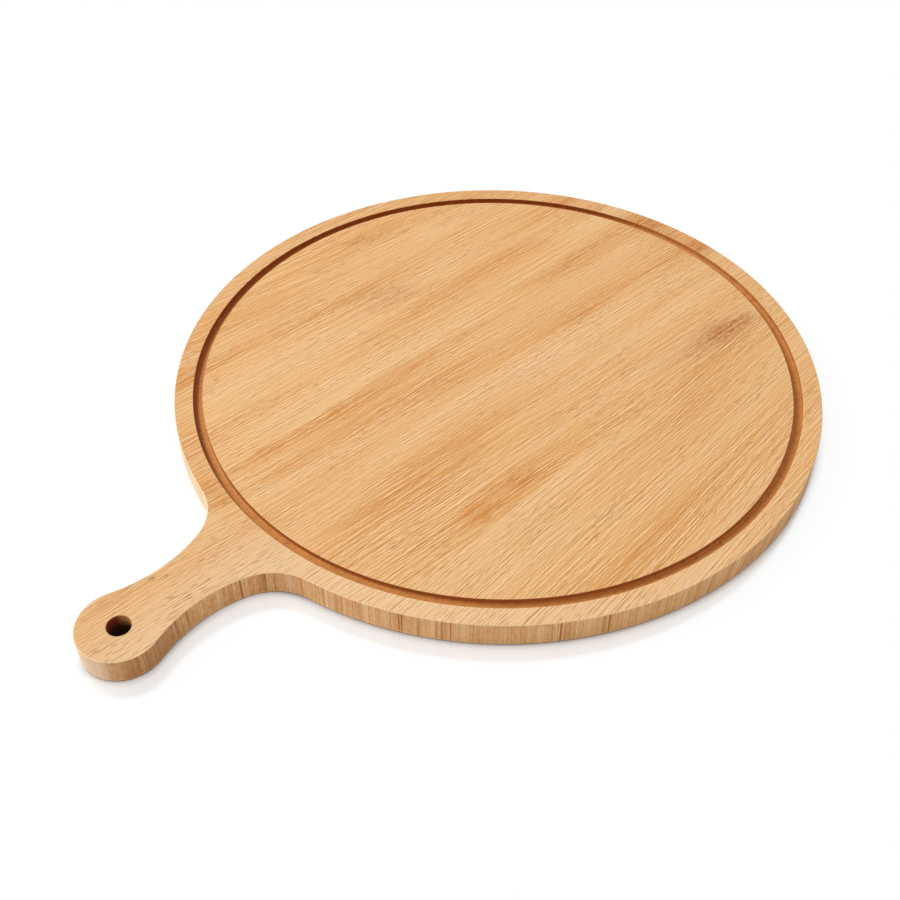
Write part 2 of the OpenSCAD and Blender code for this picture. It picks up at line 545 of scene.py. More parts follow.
# %% [markdown]
# ## The nine staves
# Each stave runs the tree with its own glue lines, tone and grain. The result is turned into a
# plain mesh at its place, and once the woods are made it takes the place of its CAD node and
# rides on the one body.

# %% Make a stave


def into_scene(thing):
    """Puts an object into the scene."""
    bpy.context.scene.collection.objects.link(thing)


def socket_id(tree, name):
    """The identifier of a tree's named input, which a modifier needs."""
    for item in tree.interface.items_tree:
        if item.item_type == "SOCKET" and item.in_out == "INPUT" and item.name == name:
            return item.identifier
    raise KeyError(name)


def make_stave(node, low, high, tone, shift, slope, finish):
    """One stave as a plain mesh object."""
    path = line_object(node + "_path", outline, True)
    into_scene(path)
    modifier = path.modifiers.new("stave", "NODES")
    modifier.node_group = stave_tree.tree
    values = {
        "Edge section": edge_line,
        "Edge softening": EDGE_SOFT,
        "Thickness": BOARD_T,
        "Groove radius": GROOVE_MID_R,
        "Groove depth": GROOVE_DEPTH,
        "Groove section": groove_line,
        "Hole radius": HOLE_R,
        "Hole softening": HOLE_SOFT,
        "Hole place": (KNOB_X, 0, 0),
        "Hole section": hole_line,
        "Low glue line": low * MM,
        "High glue line": high * MM,
        "Tone": tone,
        "Grain shift": shift,
        "Grain slope": slope,
        "Finish": finish,
    }
    for name, value in values.items():
        modifier[socket_id(stave_tree.tree, name)] = value
    bpy.context.view_layer.update()
    ready = path.evaluated_get(bpy.context.evaluated_depsgraph_get())
    mesh = bpy.data.meshes.new_from_object(ready)
    bpy.data.objects.remove(path)
    mesh.name = node + "_wood"
    piece = bpy.data.objects.new(node + "_wood", mesh)
    into_scene(piece)
    return piece


# %% [markdown]
# ## Wood grain
# The wood is a pale, straight-grained timber. Its grain runs along the handle: fine lines a
# millimetre or two apart, short dark pores, longer soft streaks, and broad pale and warm bands.
# Stretched noise makes each of these: the pattern is squeezed across the grain and drawn out
# along it. A fine line is one pattern less the same pattern a little to the side, so a pale and
# a dark line lie next to each other, as a ridge and its shade do. Broad patches make the lines
# and the pores stronger here and weaker there.
# Every stave has its own shift, which takes it to another place in the noise, and its own slope,
# because no two staves were sawn at quite the same angle. One shader group holds the grain, and
# every wood uses it. Bands, streaks and lines swing evenly about zero, so a material decides
# what to do with them; pores are a mask from 0 to 1.

# %% Patterns of noise


def noise(group, vector, cells, detail=0.0, roughness=0.5):
    """A soft random pattern between 0 and 1, with so many cells per metre along each axis."""
    fine = group.vector("MULTIPLY", vector, cells)
    kind = "ShaderNodeTexNoise"
    return group.add(kind, Vector=fine, Scale=1.0, Detail=detail, Roughness=roughness).outputs[0]


def swing(group, vector, cells, gain, detail=0.0, roughness=0.5):
    """The same pattern, spread evenly about zero."""
    level = group.math("SUBTRACT", noise(group, vector, cells, detail, roughness), 0.5)
    return group.math("MULTIPLY", level, gain)


RIB_GAP = 0.7 * MM


def ribs(group, vector, cells, gain):
    """Fine pale and dark lines in pairs: one pattern less the same pattern just beside it."""
    beside = group.vector("ADD", vector, (0, RIB_GAP, 0))
    first = noise(group, vector, cells)
    second = noise(group, beside, cells)
    return group.math("MULTIPLY", group.math("SUBTRACT", first, second), gain)


# %% The grain group
# Cells per metre along the grain and across it, and the depth into the pattern
GRAIN_CELLS = {
    "wander": (7, 22, 0),
    "bands": (4, 40, 0.7),
    "streaks": (14, 170, 0.9),
    "patches": (12, 70, 1.9),
    "dashes": (170, 1300, 1.4),
    "pore patches": (22, 45, 1.7),
}
# The same for each layer of fine lines, with its strength
LINE_LAYERS = [
    ((9, 420, 1.1), 0.46),
    ((12, 780, 1.2), 0.36),
    ((18, 1300, 1.3), 0.58),
    ((50, 1900, 1.4), 0.85),
    ((110, 1100, 1.5), 0.42),
    ((320, 1400, 1.6), 0.48),
]
WANDER = 6 * MM
BAND_GAIN = 5.0
STREAK_GAIN = 2.4

grain = new_group(
    "long_grain",
    "ShaderNodeTree",
    [("Place", "Vector"), ("Shift", "Float", 0.0), ("Slope", "Float", 0.0)],
    [("Bands", "Float"), ("Streaks", "Float"), ("Lines", "Float"), ("Pores", "Float")],
)
s = grain
spot = s.split(s.inside["Place"])
lean = s.math("MULTIPLY", spot["X"], s.inside["Slope"])
wander = swing(s, s.inside["Place"], GRAIN_CELLS["wander"], WANDER, 1.0)
across = s.math("ADD", s.math("SUBTRACT", spot["Y"], lean), wander)
fibre = s.join(X=spot["X"], Y=across, Z=s.inside["Shift"])
s.put(s.result["Bands"], swing(s, fibre, GRAIN_CELLS["bands"], BAND_GAIN, 1.0))
s.put(s.result["Streaks"], swing(s, fibre, GRAIN_CELLS["streaks"], STREAK_GAIN, 1.0))

lines = 0.0
for cells, strength in LINE_LAYERS:
    lines = s.math("ADD", ribs(s, fibre, cells, strength), lines)
patches = s.ramp(noise(s, fibre, GRAIN_CELLS["patches"], 1.0), 0.3, 0.7, 0.7, 1.3)
s.put(s.result["Lines"], s.math("MULTIPLY", lines, patches))

pores = s.ramp(noise(s, fibre, GRAIN_CELLS["dashes"]), 0.40, 0.27)
patches = s.ramp(noise(s, fibre, GRAIN_CELLS["pore patches"], 1.0), 0.42, 0.62, 0.35, 1.0)
s.put(s.result["Pores"], s.math("MULTIPLY", pores, patches))
print("Grain group:", len(s.tree.nodes), "nodes")

# %% [markdown]
# ## Figure
# A few places stand out on the top: a small knot, two dark smudges, longer darker streaks, and a
# paler patch or two. They are placed one by one from two short lists. The first is drawn in a
# colour of its own, and the second only makes the wood darker or, where its depth is negative,
# paler. Rough noise breaks up each soft spot, so that none looks like an airbrushed oval.

# %% The marks of the figure
# Middle along and across the board in millimetres, half length, half width, depth
KNOTS = [
    (114, -69, 13, 7, 0.42),
    (131, -72, 9, 5, 0.48),
    (110, -71, 24, 10, 0.28),
    (90, -68, 26, 7, 0.22),
    (27, 142, 9, 3, 0.45),
    (-5, 96, 26, 10, 0.25),
    (5, 83, 16, 6, 0.22),
    (169, -13, 8, 8, 0.40),
    (167, 22, 9, 16, 0.42),
    (-240, 15, 16, 5, 0.35),
    (-252, -4, 12, 3, 0.25),
]
STREAKS = [
    (-85, -67, 9, 5.5, 0.82),
    (-85, -67, 4.5, 2.6, -0.55),
    (-52, -70, 12, 4.5, 0.40),
    (-68, -65, 28, 8, 0.25),
    (40, 138, 26, 6, 0.25),
    (150, -10, 14, 7, 0.45),
    (-45, 105, 40, 5, 0.20),
    (70, -4, 28, 3, 0.40),
    (-95, 66, 14, 4, 0.25),
    (-125, 38, 60, 4.5, 0.65),
    (-60, 35, 60, 4.0, 0.40),
    (30, 33, 60, 3.0, 0.35),
    (95, 35, 60, 4.0, 0.60),
    (60, 29, 80, 1.6, 0.50),
    (-120, 21, 50, 4.0, 0.50),
    (-30, -46, 110, 10, 0.35),
    (40, -66, 60, 6, 0.30),
    (-120, -32, 30, 7, 0.25),
    (30, 60, 130, 4, -0.30),
    (120, 63, 22, 8, -0.45),
    (-80, 55, 50, 6, -0.30),
    (66, 119, 14, 8, -0.35),
    (20, -88, 90, 8, -0.35),
    (-130, -45, 20, 6, -0.25),
    (169, -13, 8, 8, 0.80),
    (167, 22, 9, 16, 0.80),
    (-167, 30, 10, 26, 0.55),
    (-150, 80, 12, 16, 0.45),
    (0, 147, 110, 4, 0.45),
    (-20, 18, 110, 5, 0.20),
    (160, 58, 8, 2.5, 0.60),
    (152, 79, 9, 2.0, 0.60),
    (140, 101, 10, 2.0, 0.50),
    (130, 112, 8, 2.0, 0.35),
]
print("Marks of the figure:", len(KNOTS), "and", len(STREAKS))

# %% The figure group
# The marks follow the slope of the handle stave's grain
FIGURE_SLOPE = -0.06
SPECK_CELLS = (260, 560, 1)
BRUSHED_CELLS = (50, 260, 1)

figure = new_group(
    "figure",
    "ShaderNodeTree",
    [("Place", "Vector")],
    [("Knots", "Float"), ("Streaks", "Float")],
)
s = figure
spot = s.split(s.inside["Place"])
across = s.math("SUBTRACT", spot["Y"], s.math("MULTIPLY", spot["X"], FIGURE_SLOPE))
level_place = s.join(X=spot["X"], Y=across)


def clouds(marks, rough):
    """Soft ovals at the places in a list, broken up by rough noise."""
    cloud = 0.0
    for x, y, half_long, half_wide, depth in marks:
        middle = (x * MM, (y - x * FIGURE_SLOPE) * MM, 0)
        reach = (1 / (half_long * MM), 1 / (half_wide * MM), 0)
        away = s.vector("MULTIPLY", s.vector("SUBTRACT", level_place, middle), reach)
        spread = s.vector("DOT_PRODUCT", away, away)
        mark = s.math("EXPONENT", s.math("MULTIPLY", spread, -1.0))
        cloud = s.math("MULTIPLY_ADD", mark, depth, cloud)
    return s.math("MULTIPLY", cloud, s.math("ADD", rough, 1.0))


specks = swing(s, level_place, SPECK_CELLS, 2.4, 2.0, 0.7)
brushed = swing(s, level_place, BRUSHED_CELLS, 3.2, 2.0, 0.6)
s.put(s.result["Knots"], clouds(KNOTS, specks))
s.put(s.result["Streaks"], clouds(STREAKS, brushed))
print("Figure group:", len(s.tree.nodes), "nodes")

# %% [markdown]
# ## Colours and zones
# All the colours of the board stand in one list, as they look on a screen. Much of the finish
# also changes slowly from one side of the board to the other: hands have dried the grip, and the
# side that faces the window is painted paler, as painted light. Some zones also place painted
# shade, in the groove and in the hole. A zone is a soft mask for such a change. It says along
# which axis it runs, where it begins and where it is full, and every effect below uses the same
# list of zones.

# %% Colours


def srgb(red, green, blue):
    """A colour from 0 to 255 as the linear numbers that Blender uses."""
    shares = [c / 255 for c in (red, green, blue)]
    linear = [c / 12.92 if c <= 0.04045 else ((c + 0.055) / 1.055) ** 2.4 for c in shares]
    return (*linear, 1.0)


PORE = srgb(156, 90, 36)
KNOT = srgb(176, 95, 14)
PALE_RIM = srgb(250, 207, 157)
HANDLED = srgb(239, 201, 156)
LINE_DARK = srgb(178, 110, 34)
LINE_LIGHT = srgb(255, 212, 162)
WALL_PALE = srgb(255, 210, 156)
WALL_MIDDLE = srgb(242, 185, 123)
WALL_WARM = srgb(226, 158, 92)
WALL_LAYER = srgb(176, 101, 46)
# Painted light for the wall: the tip of the round end, and the side that faces the lamp
WALL_PAINTED_LIGHT = srgb(255, 232, 200)
# Painted highlight along the softened top edge
EDGE_HIGHLIGHT_COLOUR = srgb(255, 222, 172)
GROOVE_INNER = srgb(180, 108, 54)
GROOVE_NEAR = srgb(206, 138, 72)
# Painted shade on the groove's outer wall on the far side
GROOVE_PAINTED_SHADE = srgb(164, 83, 20)
GROOVE_FLOOR = srgb(208, 136, 63)
GROOVE_GOLD = srgb(212, 142, 70)
SCORCH_SPECK = srgb(120, 62, 26)
# Painted light on the hole's wall towards the disc
HOLE_PAINTED_LIGHT = srgb(240, 176, 112)
HOLE_WALL = srgb(150, 62, 20)
# Painted shade deep in the hole
HOLE_PAINTED_SHADE = srgb(62, 26, 12)

# %% Zones
# The axis, and where the zone begins and where it is full, in millimetres
ZONES = {
    "grip": ("X", -150, -190),
    "grip front": ("Y", 5, -10),
    "round end": ("X", -212, -236),
    # Painted shade on the front of the round end
    "round end shade": ("Y", -6, -20),
    # Painted light at the tip of the round end
    "tip": ("X", -259, -266.5),
    "handle half": ("X", 40, -140),
    "leaning layers": ("X", -80, 50),
    "calm end": ("X", -20, 100),
    "golden floor": ("X", -90, -150),
    "near half": ("Y", 30, -30),
    "far rim": ("Y", 0, 60),
    # Painted shade on the groove's far side
    "groove shade side": ("Y", 10, 70),
    # Painted light on the side that faces the lamp
    "painted light side": ("Y", 4, 30),
    # Painted light at the foot of the wall
    "painted light foot": ("Z", 2.5, 0.2),
    # Painted light on the hole's wall towards the disc, and painted shade deeper down
    "hole light side": ("X", -245, -241.5),
    "hole shade depth": ("Z", 12, 5),
}


def zone(group, spot, name):
    """A soft mask that rises from 0 to 1 along one axis."""
    axis, start, full = ZONES[name]
    return group.ramp(spot[axis], start * MM, full * MM)


def upper_half(group, spot):
    """1 in the upper half of the board's thickness and 0 in the lower."""
    return group.math("GREATER_THAN", spot["Z"], BOARD_T / 2)


def radius_of(group, place):
    """The distance from the middle of the disc, as seen from above."""
    return group.vector("LENGTH", group.vector("MULTIPLY", place, (1, 1, 0)))


def outside_groove(group, radius, spot):
    """1 on the upper half of the rim, from the middle of the groove outwards, and else 0."""
    outside = group.math("GREATER_THAN", radius, GROOVE_MID_R)
    return group.math("MULTIPLY", outside, upper_half(group, spot))


print("Zones:", len(ZONES))

# %% Helpers that mix colours and place groups


def mixed(group, factor, first, second):
    """Two colours mixed by a factor."""
    node = group.add("ShaderNodeMix", {"data_type": "RGBA", "clamp_factor": True})
    for socket, value in ((0, factor), (6, first), (7, second)):
        group.put(node.inputs[socket], value)
    return node.outputs[2]


def marked_by(group, colour, pattern, below, above, down=1.0, up=1.0):
    """A colour drawn towards one colour below zero and towards another above it."""
    colour = mixed(group, group.math("MULTIPLY", pattern, up), colour, above)
    return mixed(group, group.math("MULTIPLY", pattern, -down), colour, below)


def use(group, inner, **inputs):
    """A node group placed in a tree."""
    node = group.add("ShaderNodeGroup", {"node_tree": inner.tree})
    for name, value in inputs.items():
        group.put(node.inputs[name.replace("_", " ")], value)
    return node.outputs


def attribute(group, name):
    """A number stored on the mesh."""
    return group.add("ShaderNodeAttribute", {"attribute_name": name}).outputs["Fac"]


# %% [markdown]
# ## The rim and the grip
# The rim outside the groove is paler towards the handle and the near side, where its bands hardly
# show, and on the far side it is a touch darker. The grip is dry and a little greyer, with softer
# lines and more open pores. Towards the far end of the board the lines are calmer. This could be
# painted by hand; zones do it without a picture, and the group passes on how strong the lines and
# the pores may be.

# %% The rim and grip group
FAR_RIM_SHADE = 0.07
PALE_RIM_SHARE = 0.85
# What the lines lose on the grip and at the calm end
GRIP_CALM = 0.2
END_CALM = 0.15
# How much of a pore shows, and how much more on the grip
PORE_SHARE = 0.30
GRIP_PORES = 0.35

rim_and_grip = new_group(
    "rim_and_grip",
    "ShaderNodeTree",
    [("Colour", "Color"), ("Place", "Vector")],
    [("Colour", "Color"), ("Line strength", "Float"), ("Pore strength", "Float")],
)
s = rim_and_grip
spot = s.split(s.inside["Place"])
rim = outside_groove(s, radius_of(s, s.inside["Place"]), spot)
grip = zone(s, spot, "grip")
shade = s.product(rim, zone(s, spot, "far rim"), FAR_RIM_SHADE)
colour = mixed(s, shade, s.inside["Colour"], PORE)
near_handle = s.product(zone(s, spot, "near half"), zone(s, spot, "handle half"))
bare = mixed(s, grip, PALE_RIM, HANDLED)
colour = mixed(s, s.product(rim, near_handle, PALE_RIM_SHARE), colour, bare)
strength = s.math("MULTIPLY_ADD", grip, -GRIP_CALM, 1.0)
strength = s.math("MULTIPLY_ADD", zone(s, spot, "calm end"), -END_CALM, strength)
s.put(s.result["Colour"], colour)
s.put(s.result["Line strength"], strength)
s.put(s.result["Pore strength"], s.math("MULTIPLY_ADD", grip, GRIP_PORES, PORE_SHARE))
print("Rim and grip group:", len(s.tree.nodes), "nodes")

# %% [markdown]
# ## The sawn wall
# The sawn edge shows the layers of the wood as upright stripes: thin red-brown ones in groups, a
# few wider soft ones, and pale wood between them, with short dashes over all of it. A pattern
# that fills space would smear where the wall turns, so this group reads the distance along the
# rim and the height instead. Where the edge runs with the grain, the layers lean over.
# The wall also changes slowly on its way round, in painted light and shade: the round end is
# darker in front with painted shade and paler at its tip with painted light, and the foot and the
# side that faces the window are painted paler, as painted light.

# %% The layers and lines of the wall
# Cells per metre along the outline and up the wall, and the depth into the pattern
WALL_CELLS = {
    "bands": (140, 5, 1),
    "lines": (800, 8, 1),
    "dashes": (1100, 260, 2),
    "groups": (90, 3, 1),
    "wide layers": (270, 5, 2),
    "thin layers": (700, 8, 1),
}
# How far the layers lean over per unit of height
LAYER_LEAN = 0.65
# A thin layer's strength outside the groups, and what the groups add
LAYER_APART = 0.25
LAYER_GROUPED = 0.75

sawn_wall = new_group(
    "sawn_wall",
    "ShaderNodeTree",
    [("Place", "Vector"), ("Way", "Float")],
    [("Colour", "Color"), ("Lines", "Float")],
)
s = sawn_wall
spot = s.split(s.inside["Place"])
side = s.math("MULTIPLY", s.math("SIGN", spot["Y"]), -LAYER_LEAN)
leaning = s.product(spot["Z"], s.math("MULTIPLY", zone(s, spot, "leaning layers"), side))
walk = s.join(X=s.math("SUBTRACT", s.inside["Way"], leaning), Y=spot["Z"])
bands = swing(s, walk, WALL_CELLS["bands"], 4.0, 1.0)
dashes = swing(s, walk, WALL_CELLS["dashes"], 1.8, 1.0)
lines = s.math("ADD", swing(s, walk, WALL_CELLS["lines"], 3.4, 2.0, 0.6), dashes)
groups = s.ramp(noise(s, walk, WALL_CELLS["groups"]), 0.48, 0.62)
wide = s.ramp(noise(s, walk, WALL_CELLS["wide layers"]), 0.40, 0.28, 0, 0.5)
thin = s.ramp(noise(s, walk, WALL_CELLS["thin layers"], 1.0), 0.50, 0.36)
thin = s.math("MULTIPLY", thin, s.math("MULTIPLY_ADD", groups, LAYER_GROUPED, LAYER_APART))
layers = s.math("MAXIMUM", wide, thin)
s.put(s.result["Lines"], lines)
print("Sawn wall group so far:", len(s.tree.nodes), "nodes")

# %% The colours of the wall
LAYER_SHARE = 0.92
# How strongly the dark and the light lines show, and what the front of the grip adds
WALL_DARK_LINES = 0.52
WALL_LIGHT_LINES = 0.85
GRIP_LINES = 0.5
# The slow changes: the zones that make a mask together, how much, and the colour
WALL_CHANGES = [
    # Painted shade on the front of the round end, in the pore colour
    (("round end", "round end shade"), 0.50, PORE),
    # Painted light: the tip of the round end, the foot and the side that faces the lamp
    (("tip",), 0.60, WALL_PAINTED_LIGHT),
    (("painted light foot",), 0.40, WALL_PALE),
    (("painted light side",), 0.60, WALL_PAINTED_LIGHT),
]

colour = marked_by(s, WALL_MIDDLE, bands, WALL_WARM, WALL_PALE)
grip_front = s.product(zone(s, spot, "grip"), zone(s, spot, "grip front"))
lines = s.math("MULTIPLY", lines, s.math("MULTIPLY_ADD", grip_front, GRIP_LINES, 1.0))
strengths = (WALL_DARK_LINES, WALL_LIGHT_LINES)
colour = marked_by(s, colour, lines, LINE_DARK, LINE_LIGHT, *strengths)
colour = mixed(s, s.math("MULTIPLY", layers, LAYER_SHARE), colour, WALL_LAYER)
for zones, share, tint in WALL_CHANGES:
    changed = s.product(*[zone(s, spot, name) for name in zones], share)
    colour = mixed(s, changed, colour, tint)
s.put(s.result["Colour"], colour)
print("Sawn wall group:", len(s.tree.nodes), "nodes")

# %% [markdown]
# ## Edge highlight
# The softened edge between the top and the wall gets a painted highlight, a pale band. A band
# like this is often found from how sharply a surface bends. Here the mesh already carries a mask
# that falls from 1 on the wall to 0 on the top across that edge, and what lies between is the
# painted highlight.

# %% The edge highlight group
HIGHLIGHT_SHARE = 0.6

edge_highlight = new_group(
    "edge_highlight",
    "ShaderNodeTree",
    [("Colour", "Color"), ("Place", "Vector"), ("Rim", "Float")],
    [("Colour", "Color")],
)
s = edge_highlight
rim = s.inside["Rim"]
# The band across the softened edge gets a painted highlight
highlit_band = s.product(s.ramp(rim, 0.0, 0.4), s.ramp(rim, 1.0, 0.8))
highlit_band = s.product(highlit_band, upper_half(s, s.split(s.inside["Place"])), HIGHLIGHT_SHARE)
s.put(s.result["Colour"], mixed(s, highlit_band, s.inside["Colour"], EDGE_HIGHLIGHT_COLOUR))
print("Edge highlight group:", len(s.tree.nodes), "nodes")

# %% [markdown]
# ## Browned cuts
# The cutter burnt the wood where it bit into it, so the groove and the hole are brown. In the
# groove the inner wall is dark, the outer wall is lighter on the near side and a painted shade of
# deep brown on the far side, where painted shadow also darkens the outer corner of the floor, and
# the floor is paler again, most of all towards the handle. Burnt patches and fine specks break
# all of it up. The hole is red-brown, with painted light on its wall towards the disc and painted
# shade that turns it almost black below.
# The cuts could be pieces with a material of their own, but then each stave would fall apart
# into several. The depth stored on the mesh finds them inside one material.

# %% The browned cuts group
BURN_CELLS = (260, 260, 0)
GRIT_CELLS = (600, 600, 600)
BURN_SHARE = 0.4
GRIT_SHARE = 0.3
# The depth, as a share of the whole, where the floor's colour begins: inside, and added outside
FLOOR_FROM = 0.6
FLOOR_LATER = 0.3
FLOOR_BLEND = 0.2
# Where painted shadow darkens the outer corner of the floor on the far side, and how much
SHADOW_FROM = GROOVE_MID_R - 0.5 * MM
SHADOW_FULL = GROOVE_MID_R + 1.5 * MM
SHADOW_SHARE = 0.7
# The depth where the brown begins: inside, and added outside
BROWN_FROM = 0.001
BROWN_LATER = 0.06
BROWN_BLEND = 0.03

browned_cuts = new_group(
    "browned_cuts",
    "ShaderNodeTree",
    [("Colour", "Color"), ("Place", "Vector"), ("Groove", "Float"), ("Hole", "Float")],
    [("Colour", "Color")],
)
s = browned_cuts
spot = s.split(s.inside["Place"])
depth = s.inside["Groove"]
radius = radius_of(s, s.inside["Place"])
outside = outside_groove(s, radius, spot)
# Painted shade: the groove's outer wall is darker on the far side
far = zone(s, spot, "groove shade side")
groove = mixed(s, outside, GROOVE_INNER, mixed(s, far, GROOVE_NEAR, GROOVE_PAINTED_SHADE))

floor_from = s.math("MULTIPLY_ADD", outside, FLOOR_LATER, FLOOR_FROM)
at_floor = s.ramp(depth, floor_from, s.math("ADD", floor_from, FLOOR_BLEND))
# Painted shadow of the outer wall on the floor's outer corner, on the far side
shadowed = s.product(s.ramp(radius, SHADOW_FROM, SHADOW_FULL), far)
at_floor = s.product(at_floor, s.math("MULTIPLY_ADD", shadowed, -SHADOW_SHARE, 1.0))
golden = mixed(s, zone(s, spot, "golden floor"), GROOVE_FLOOR, GROOVE_GOLD)
groove = mixed(s, at_floor, groove, golden)

burns = s.ramp(noise(s, s.inside["Place"], BURN_CELLS, 1.0, 0.6), 0.50, 0.34)
grit = s.ramp(noise(s, s.inside["Place"], GRIT_CELLS, 2.0, 0.7), 0.5, 0.3)
groove = mixed(s, s.math("MULTIPLY", burns, BURN_SHARE), groove, GROOVE_INNER)
groove = mixed(s, s.math("MULTIPLY", grit, GRIT_SHARE), groove, SCORCH_SPECK)
brown_from = s.math("MULTIPLY_ADD", outside, BROWN_LATER, BROWN_FROM)
browned = s.ramp(depth, brown_from, s.math("ADD", brown_from, BROWN_BLEND))
colour = mixed(s, browned, s.inside["Colour"], groove)

# Painted light on the hole's wall towards the disc, and painted shade deeper down
bore = mixed(s, zone(s, spot, "hole light side"), HOLE_WALL, HOLE_PAINTED_LIGHT)
bore = mixed(s, zone(s, spot, "hole shade depth"), bore, HOLE_PAINTED_SHADE)
s.put(s.result["Colour"], mixed(s, s.inside["Hole"], colour, bore))
print("Browned cuts group:", len(s.tree.nodes), "nodes")

# %% [markdown]
# ## The three woods
# Honey, pale and warm staves differ only a little, as boards from one tree do. Each material
# mixes its own three colours by the grain and the figure, and then uses the shared groups for
# the rim and the grip, the wall, the painted edge highlight and the browned cuts. A fine bump
# gives the lines relief, and both are weaker where a knot is. The wood is matt, a little less so
# on its pale lines.

# %% A wood material
# How much the streaks count beside the bands, and both of them in the tone
STREAK_SHARE = 0.6
TONE_SHARE = 0.66
# How strongly the dark and the light lines show, and how a knot calms them
DARK_LINES = 0.84
LIGHT_LINES = 2.1
KNOT_LIMIT = 0.6
KNOT_CALM = 0.5
RELIEF = 0.07 * MM
ROUGHNESS = 0.6
LINE_GLOSS = 0.1
SPECULAR = 0.3


def new_material(name):
    """A material with an empty tree."""
    material = bpy.data.materials.new(name)
    material.use_nodes = True
    material.node_tree.nodes.clear()
    return material, Tree(material.node_tree)


def wood(name, light, middle, dark):
    """A wood material from its light, middle and dark colour."""
    material, m = new_material(name)
    here = m.add("ShaderNodeTexCoord").outputs["Object"]
    rim = attribute(m, "on_rim")

    # The broad tone, then the figure
    turned = {"Shift": attribute(m, "grain_shift"), "Slope": attribute(m, "grain_slope")}
    long = use(m, grain, Place=here, **turned)
    marks = use(m, figure, Place=here)
    tone = m.math("MULTIPLY_ADD", long["Streaks"], STREAK_SHARE, long["Bands"])
    tone = m.math("MULTIPLY_ADD", tone, TONE_SHARE, attribute(m, "stave_tone"))
    top = marked_by(m, middle, m.math("SUBTRACT", tone, marks["Streaks"]), dark, light)
    top = mixed(m, marks["Knots"], top, KNOT)

    # The paler rim, then the fine lines and the pores
    rim_grip = use(m, rim_and_grip, Colour=top, Place=here)
    knotty = m.math("MINIMUM", marks["Knots"], KNOT_LIMIT)
    calm = m.math("MULTIPLY_ADD", knotty, -KNOT_CALM, 1.0)
    lines = m.product(long["Lines"], rim_grip["Line strength"], calm)
    strengths = (DARK_LINES, LIGHT_LINES)
    top = marked_by(m, rim_grip["Colour"], lines, LINE_DARK, LINE_LIGHT, *strengths)
    top = mixed(m, m.product(long["Pores"], rim_grip["Pore strength"]), top, PORE)

    # The wall, the painted edge highlight and the browned cuts
    wall = use(m, sawn_wall, Place=here, Way=attribute(m, "rim_way"))
    colour = mixed(m, rim, top, wall["Colour"])
    colour = use(m, edge_highlight, Colour=colour, Place=here, Rim=rim)["Colour"]
    cuts = {"Groove": attribute(m, "in_groove"), "Hole": attribute(m, "in_hole")}
    colour = use(m, browned_cuts, Colour=colour, Place=here, **cuts)["Colour"]

    # The relief, and the surface
    relief = m.math("SUBTRACT", lines, long["Pores"])
    relief = m.math("MULTIPLY", m.math("SUBTRACT", 1.0, rim), relief)
    relief = m.math("MULTIPLY_ADD", rim, wall["Lines"], relief)
    bump = m.add("ShaderNodeBump", Strength=1.0, Distance=RELIEF, Height=relief)
    rough = m.math("MULTIPLY_ADD", long["Lines"], -LINE_GLOSS, ROUGHNESS)
    shader = m.add("ShaderNodeBsdfPrincipled", Base_Color=colour, Roughness=rough)
    m.put(shader.inputs["Normal"], bump.outputs[0])
    shader.inputs["Specular IOR Level"].default_value = SPECULAR
    m.add("ShaderNodeOutputMaterial", Surface=shader.outputs[0])
    return material


# %% Make the three woods
# The light, middle and dark colour of each wood
WOOD_COLOURS = {
    "honey_wood": (srgb(246, 200, 146), srgb(238, 183, 119), srgb(218, 144, 67)),
    "pale_wood": (srgb(247, 202, 146), srgb(239, 185, 121), srgb(220, 147, 70)),
    "warm_wood": (srgb(245, 198, 142), srgb(237, 181, 115), srgb(217, 142, 63)),
}
WOODS = {name: wood(name, *colours) for name, colours in WOOD_COLOURS.items()}
print("Woods:", sorted(WOODS))

# %% Put the staves in place of their CAD nodes
for node, low, high, slot, tone, shift, slope in STAVES:
    piece = make_stave(node, low, high, tone, shift, slope, WOODS[slot])
    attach(piece, "root")
    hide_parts(node)
    print(piece.name, len(piece.data.polygons), "faces", slot)

# %% [markdown]
# ## Floor, light and camera
# The board lies on a white floor under a wide soft lamp from the left and a little behind, with
# an even pale sky. The camera sees the floor as pure white with only a tenth of the real shading,
# a dark line where the board touches it on the side away from the lamp, a breath of shade all
# round it, and a faint reflection of the wall. Every other ray meets a plain white floor that
# bounces light up at the wall.

# %% The floor
FLOOR_REACH = 8.0
corners = [(x * FLOOR_REACH, y * FLOOR_REACH, 0) for x, y in ((-1, -1), (1, -1), (1, 1), (-1, 1))]
floor_mesh = bpy.data.meshes.new("floor")
floor_mesh.from_pydata(corners, [], [(0, 1, 2, 3)])
floor = bpy.data.objects.new("floor", floor_mesh)
into_scene(floor)
finish, m = new_material("white_floor")
floor_mesh.materials.append(finish)
print("Floor:", 2 * FLOOR_REACH, "metres wide")

# %% How dark the floor is close to the board
CONTACT_REACH = 8 * MM
# The dark line: a sharp part close to the wall and a wider soft part
CONTACT_POWER = 6.0
CONTACT_NEAR = 30.0
CONTACT_FAR = 1.2
# It is seen only on the near side of a line that slopes past the handle
LINE_X = -230 * MM
LINE_SLOPE = -0.3
LINE_FROM = 4 * MM
LINE_FULL = -15 * MM
# The breath of shade all round the board
SOFT_SHADE = 0.10
# No light reaches the hole's bottom
HOLE_SHADE_R = HOLE_R + 2 * MM

# How much of the sky is covered close by: a half beside the wall, and nothing further out
open_share = m.add("ShaderNodeAmbientOcclusion", {"samples": 8}, Distance=CONTACT_REACH)
blocked = m.math("SUBTRACT", 1.0, open_share.outputs["AO"])
near = m.math("MULTIPLY", m.math("POWER", blocked, CONTACT_POWER), CONTACT_NEAR)
contact = m.math("MULTIPLY_ADD", m.math("MULTIPLY", blocked, blocked), CONTACT_FAR, near)

